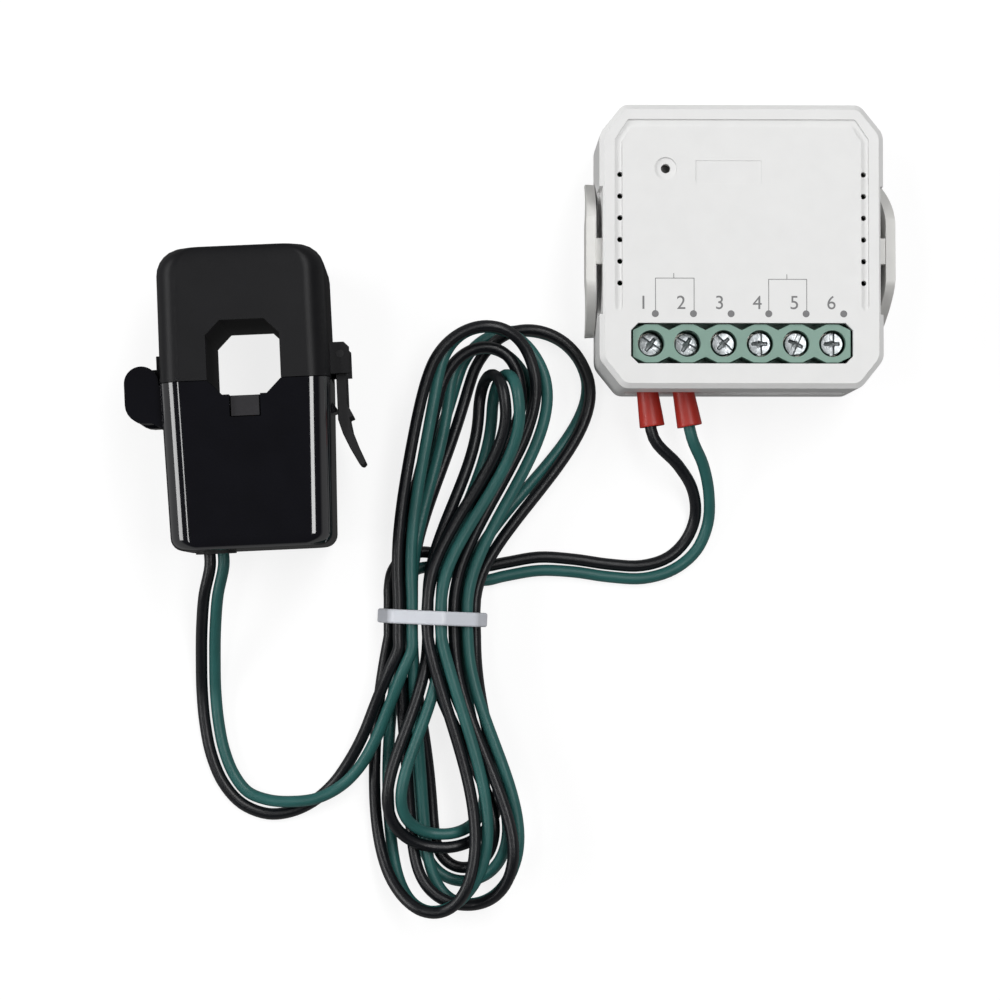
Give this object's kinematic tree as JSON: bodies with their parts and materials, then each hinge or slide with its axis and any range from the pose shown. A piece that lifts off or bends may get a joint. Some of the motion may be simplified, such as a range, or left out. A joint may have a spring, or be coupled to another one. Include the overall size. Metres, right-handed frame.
{
  "type": "smart energy monitor",
  "caption": "White radio energy monitor module with screw terminals, a tied twin lead hank and a black hinged split core current clamp.",
  "frame": {"origin": "centre of the module's rear face, on the table", "axes": "+X along the terminal row, +Y away from the terminals, +Z out of the module's front"},
  "size_m": [0.1059, 0.1127, 0.025],
  "materials": {
    "white_plastic": "fine satin moulded white",
    "clip_plastic": "satin warm white",
    "terminal_plastic": "soft sheen pale green",
    "plated_metal": "tin plated",
    "screw_steel": "nickel plated",
    "circuit_board": "solder mask",
    "dark_component": "moulded epoxy",
    "transformer_tape": "yellow tape",
    "capacitor_sleeve": "shrink sleeve",
    "resistor_coating": "flameproof coating",
    "varistor_coating": "epoxy dip",
    "grey_plastic": "moulded grey",
    "led_lens": "clear lens",
    "red_plastic": "soft gloss",
    "black_sheath": "satin insulation",
    "green_sheath": "satin insulation",
    "tie_nylon": "natural nylon",
    "clamp_base_plastic": "polished black",
    "clamp_cap_plastic": "satin black",
    "ferrite": "sintered dark grey",
    "copper_wire": "enamelled",
    "spring_steel": "rolled strip",
    "black_rubber": "soft black"
  },
  "bodies": {
    "monitor_and_lead": {"rear_case": "white_plastic", "front_cover": "white_plastic", "left_spring_clip": "clip_plastic", "right_spring_clip": "clip_plastic", "terminal_block": "terminal_plastic", "terminal_frames": "plated_metal", "main_board": "circuit_board", "control_board": "circuit_board", "board_header": "dark_component", "shield_can": "plated_metal", "power_transformer": "transformer_tape", "bulk_capacitor": "capacitor_sleeve", "fuse_resistor": "resistor_coating", "varistor": "varistor_coating", "metering_chip": "dark_component", "converter_chip": "dark_component", "burden_resistors": "dark_component", "reset_switch_body": "dark_component", "status_led": "led_lens", "ferrule_tubes": "plated_metal", "ferrule_collars": "red_plastic", "black_lead_monitor_end": "black_sheath", "green_lead_monitor_end": "green_sheath", "black_hank": "black_sheath", "green_hank": "green_sheath", "black_lead_clamp_end": "black_sheath", "green_lead_clamp_end": "green_sheath", "cable_tie": "tie_nylon", "ct_base_shell": "clamp_base_plastic", "ct_hinge_pin": "clamp_cap_plastic", "ct_base_core": "ferrite", "ct_bobbin": "grey_plastic", "ct_winding": "copper_wire", "lead_grommet": "black_rubber"},
    "ct_cap": {"ct_cap_shell": "clamp_cap_plastic", "ct_cap_core": "ferrite", "ct_core_spring": "spring_steel", "ct_latch_pin": "clamp_cap_plastic"},
    "ct_latch": {"ct_latch_arm": "clamp_cap_plastic"},
    "reset_button": {"reset_plunger": "grey_plastic"},
    "clamp_foot_1": {"clamp_foot_1": "plated_metal"},
    "terminal_screw_1": {"terminal_screw_1": "screw_steel"},
    "clamp_foot_2": {"clamp_foot_2": "plated_metal"},
    "terminal_screw_2": {"terminal_screw_2": "screw_steel"},
    "clamp_foot_3": {"clamp_foot_3": "plated_metal"},
    "terminal_screw_3": {"terminal_screw_3": "screw_steel"},
    "clamp_foot_4": {"clamp_foot_4": "plated_metal"},
    "terminal_screw_4": {"terminal_screw_4": "screw_steel"},
    "clamp_foot_5": {"clamp_foot_5": "plated_metal"},
    "terminal_screw_5": {"terminal_screw_5": "screw_steel"},
    "clamp_foot_6": {"clamp_foot_6": "plated_metal"},
    "terminal_screw_6": {"terminal_screw_6": "screw_steel"}
  },
  "joints": [
    {"name": "ct_cap_hinge", "type": "hinge", "parent": "monitor_and_lead", "child": "ct_cap", "pos_m": [-0.0822, -0.01929, 0.013], "axis": [0, 0, 1], "range_deg": [0, 110]},
    {"name": "ct_latch_pivot", "type": "hinge", "parent": "ct_cap", "child": "ct_latch", "pos_m": [-0.05527, -0.01492, 0.0125], "axis": [0, 0, 1], "range_deg": [0, 18], "stiffness_Nm_per_rad": 0.02},
    {"name": "reset_press", "type": "slide", "parent": "monitor_and_lead", "child": "reset_button", "axis": [0, 0, 1], "range_m": [-0.00025, 0], "stiffness_N_per_m": 800},
    {"name": "foot_1_rise", "type": "slide", "parent": "monitor_and_lead", "child": "clamp_foot_1", "axis": [0, 0, 1], "range_m": [0, 0.0015]},
    {"name": "screw_1_turn", "type": "hinge", "parent": "clamp_foot_1", "child": "terminal_screw_1", "pos_m": [-0.0125, -0.0134, 0.012], "axis": [0, 0, 1], "range_deg": [0, 1080]},
    {"name": "foot_2_rise", "type": "slide", "parent": "monitor_and_lead", "child": "clamp_foot_2", "axis": [0, 0, 1], "range_m": [0, 0.0015]},
    {"name": "screw_2_turn", "type": "hinge", "parent": "clamp_foot_2", "child": "terminal_screw_2", "pos_m": [-0.0075, -0.0134, 0.012], "axis": [0, 0, 1], "range_deg": [0, 1080]},
    {"name": "foot_3_rise", "type": "slide", "parent": "monitor_and_lead", "child": "clamp_foot_3", "axis": [0, 0, 1], "range_m": [-0.0015, 0]},
    {"name": "screw_3_turn", "type": "hinge", "parent": "clamp_foot_3", "child": "terminal_screw_3", "pos_m": [-0.0025, -0.0134, 0.012], "axis": [0, 0, 1], "range_deg": [-1080, 0]},
    {"name": "foot_4_rise", "type": "slide", "parent": "monitor_and_lead", "child": "clamp_foot_4", "axis": [0, 0, 1], "range_m": [-0.0015, 0]},
    {"name": "screw_4_turn", "type": "hinge", "parent": "clamp_foot_4", "child": "terminal_screw_4", "pos_m": [0.0025, -0.0134, 0.012], "axis": [0, 0, 1], "range_deg": [-1080, 0]},
    {"name": "foot_5_rise", "type": "slide", "parent": "monitor_and_lead", "child": "clamp_foot_5", "axis": [0, 0, 1], "range_m": [-0.0015, 0]},
    {"name": "screw_5_turn", "type": "hinge", "parent": "clamp_foot_5", "child": "terminal_screw_5", "pos_m": [0.0075, -0.0134, 0.012], "axis": [0, 0, 1], "range_deg": [-1080, 0]},
    {"name": "foot_6_rise", "type": "slide", "parent": "monitor_and_lead", "child": "clamp_foot_6", "axis": [0, 0, 1], "range_m": [-0.0015, 0]},
    {"name": "screw_6_turn", "type": "hinge", "parent": "clamp_foot_6", "child": "terminal_screw_6", "pos_m": [0.0125, -0.0134, 0.012], "axis": [0, 0, 1], "range_deg": [-1080, 0]}
  ],
  "couplings": [
    {"joint": "screw_1_turn", "follows": "foot_1_rise", "rad_per_m": 12566},
    {"joint": "screw_2_turn", "follows": "foot_2_rise", "rad_per_m": 12566},
    {"joint": "screw_3_turn", "follows": "foot_3_rise", "rad_per_m": 12566},
    {"joint": "screw_4_turn", "follows": "foot_4_rise", "rad_per_m": 12566},
    {"joint": "screw_5_turn", "follows": "foot_5_rise", "rad_per_m": 12566},
    {"joint": "screw_6_turn", "follows": "foot_6_rise", "rad_per_m": 12566}
  ]
}
